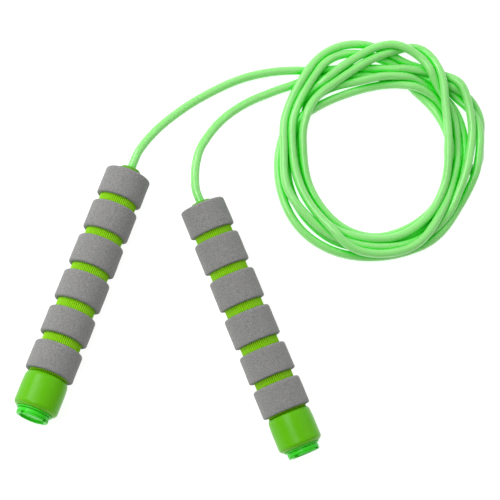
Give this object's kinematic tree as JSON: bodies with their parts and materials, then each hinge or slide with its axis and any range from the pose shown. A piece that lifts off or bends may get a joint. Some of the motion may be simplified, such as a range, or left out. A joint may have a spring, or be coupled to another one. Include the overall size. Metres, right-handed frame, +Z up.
{
  "type": "jump rope",
  "caption": "Jump rope with two foam-ringed green handles that spin on a bright green plastic rope, its middle wound in a loose coil beside them.",
  "frame": {"origin": "on the floor plane, under the middle of the two handles and their plugs, without the rope", "axes": "+Z up; the handles lie side by side with their plugs towards -Y; the rope leaves their noses towards +Y and is coiled on the +X side"},
  "size_m": [0.2809, 0.2511, 0.0286],
  "materials": {
    "rope": "gloss",
    "stopper": "gloss",
    "core": "satin",
    "grip_sleeve": "satin",
    "barrel": "satin",
    "end_plug": "gloss",
    "washer": "satin",
    "foam": "matte"
  },
  "bodies": {
    "rope": {"left_rope_end": "rope", "left_rope_stopper": "stopper", "left_rope_tail": "rope", "right_rope_end": "rope", "right_rope_stopper": "stopper", "right_rope_tail": "rope", "rope_coil": "rope"},
    "left_handle": {"left_core": "core", "left_grip_sleeve": "grip_sleeve", "left_barrel": "barrel", "left_thrust_washer": "washer", "left_foam_ring_1": "foam", "left_foam_ring_2": "foam", "left_foam_ring_3": "foam", "left_foam_ring_4": "foam", "left_foam_ring_5": "foam", "left_foam_ring_6": "foam"},
    "left_plug": {"left_end_plug": "end_plug"},
    "right_handle": {"right_core": "core", "right_grip_sleeve": "grip_sleeve", "right_barrel": "barrel", "right_thrust_washer": "washer", "right_foam_ring_1": "foam", "right_foam_ring_2": "foam", "right_foam_ring_3": "foam", "right_foam_ring_4": "foam", "right_foam_ring_5": "foam", "right_foam_ring_6": "foam"},
    "right_plug": {"right_end_plug": "end_plug"}
  },
  "joints": [
    {"name": "left_handle_spin", "type": "hinge", "parent": "rope", "child": "left_handle", "pos_m": [-0.0227, 0.0811, 0.0132], "axis": [-0.3551, -0.9348, 0.0084], "continuous": true},
    {"name": "left_plug_pull", "type": "slide", "parent": "left_handle", "child": "left_plug", "axis": [-0.3551, -0.9348, 0.0084], "range_m": [0, 0.012]},
    {"name": "right_handle_spin", "type": "hinge", "parent": "rope", "child": "right_handle", "pos_m": [0.0181, 0.0637, 0.0132], "axis": [0.3875, -0.9218, 0.0084], "continuous": true},
    {"name": "right_plug_pull", "type": "slide", "parent": "right_handle", "child": "right_plug", "axis": [0.3875, -0.9218, 0.0084], "range_m": [0, 0.012]}
  ]
}
